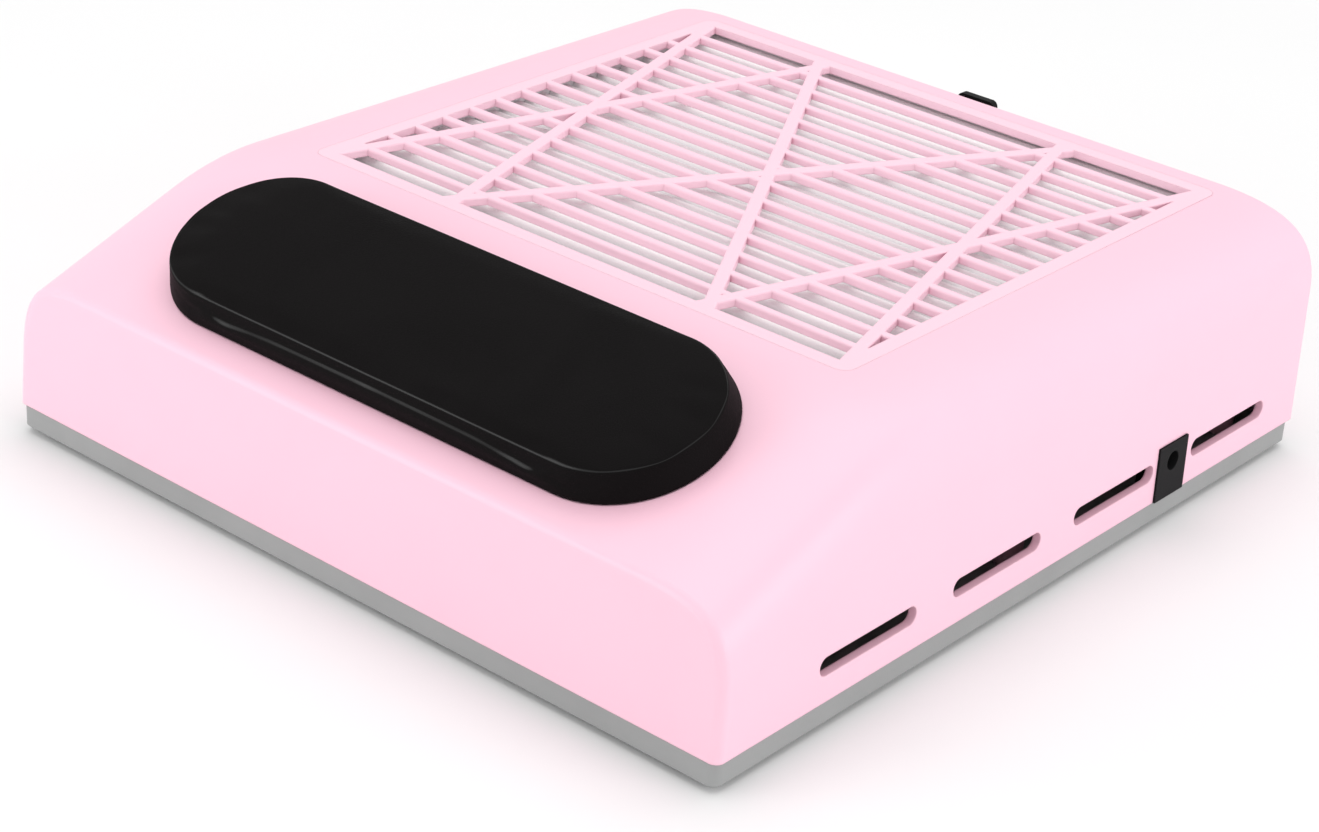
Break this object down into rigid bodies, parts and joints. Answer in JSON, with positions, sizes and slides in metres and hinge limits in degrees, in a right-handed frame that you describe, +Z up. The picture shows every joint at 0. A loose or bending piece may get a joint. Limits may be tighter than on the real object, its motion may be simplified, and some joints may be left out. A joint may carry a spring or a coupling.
{
  "type": "nail dust collector",
  "caption": "Low desktop nail dust collector with a padded hand rest, slotted intake grille, pull-out rear filter drawer, side air vents and suction fans inside.",
  "frame": {"origin": "on the table, under the centre of the whole outline with the filter handle", "axes": "+X to the right of the person using it, +Y from that person towards the rear, +Z up"},
  "size_m": [0.2566, 0.276, 0.0807],
  "materials": {
    "shell_plastic": "satin gloss pink ABS",
    "base_plastic": "fine matte grey ABS",
    "black_plastic": "fine matte black",
    "fan_plastic": "fine matte black",
    "tray_plastic": "matte pale grey",
    "carrier_plastic": "matte black",
    "pad_cover": "smooth satin black PU over foam",
    "foot_rubber": "matte black rubber",
    "frame_plastic": "matte white PP",
    "filter_sheet": "white pleated non-woven",
    "steel": "zinc-plated",
    "bearing_steel": "ground",
    "contact_brass": "tinned brass",
    "copper_wire": "enamelled copper",
    "magnet": "sintered ferrite",
    "lamination": "stacked laminations",
    "board_laminate": "green solder mask",
    "capacitor_sleeve": "dark sleeve",
    "header_plastic": "natural nylon",
    "heat_sink_alloy": "extruded",
    "lead_jacket": "black PVC jacket"
  },
  "bodies": {
    "housing": {"upper_shell": "shell_plastic", "intake_grille": "shell_plastic", "hand_rest_carrier": "carrier_plastic", "hand_rest_pad": "pad_cover", "hand_rest_push_nuts": "steel", "base_plate": "base_plastic", "rubber_feet": "foot_rubber", "base_screws": "steel", "suction_tray": "tray_plastic", "tray_screws": "steel", "fan_screws": "steel", "circuit_board": "board_laminate", "board_screws": "steel", "board_capacitors": "capacitor_sleeve", "board_choke": "copper_wire", "board_heat_sink": "heat_sink_alloy", "board_regulator": "black_plastic", "board_connectors": "header_plastic", "socket_bezel": "black_plastic", "socket_body": "black_plastic", "socket_pin": "bearing_steel", "socket_terminals": "contact_brass", "switch_housing": "black_plastic", "switch_terminals": "contact_brass", "socket_lead": "lead_jacket", "switch_lead": "lead_jacket", "fan_lead_right": "lead_jacket", "fan_lead_left": "lead_jacket", "fan_housing_left": "fan_plastic", "fan_bearings_left": "bearing_steel", "motor_stator_left": "lamination", "motor_windings_left": "copper_wire", "fan_housing_right": "fan_plastic", "fan_bearings_right": "bearing_steel", "motor_stator_right": "lamination", "motor_windings_right": "copper_wire"},
    "filter_drawer": {"filter_frame": "frame_plastic", "filter_media": "filter_sheet", "filter_door": "black_plastic"},
    "rotor_left": {"fan_rotor_left": "fan_plastic", "rotor_magnet_left": "magnet", "fan_shaft_left": "bearing_steel"},
    "rotor_right": {"fan_rotor_right": "fan_plastic", "rotor_magnet_right": "magnet", "fan_shaft_right": "bearing_steel"},
    "rocker": {"switch_rocker": "black_plastic"}
  },
  "joints": [
    {"name": "filter_slide", "type": "slide", "parent": "housing", "child": "filter_drawer", "axis": [0, 1, 0], "range_m": [0, 0.18]},
    {"name": "fan_spin_left", "type": "hinge", "parent": "housing", "child": "rotor_left", "pos_m": [-0.0485, 0.028, 0.024], "axis": [0, 0, 1], "continuous": true},
    {"name": "fan_spin_right", "type": "hinge", "parent": "housing", "child": "rotor_right", "pos_m": [0.0485, 0.028, 0.024], "axis": [0, 0, 1], "continuous": true},
    {"name": "switch_rock", "type": "hinge", "parent": "housing", "child": "rocker", "pos_m": [0.078, 0.125, 0.03], "axis": [0, 0, 1], "range_deg": [0, 16]}
  ]
}
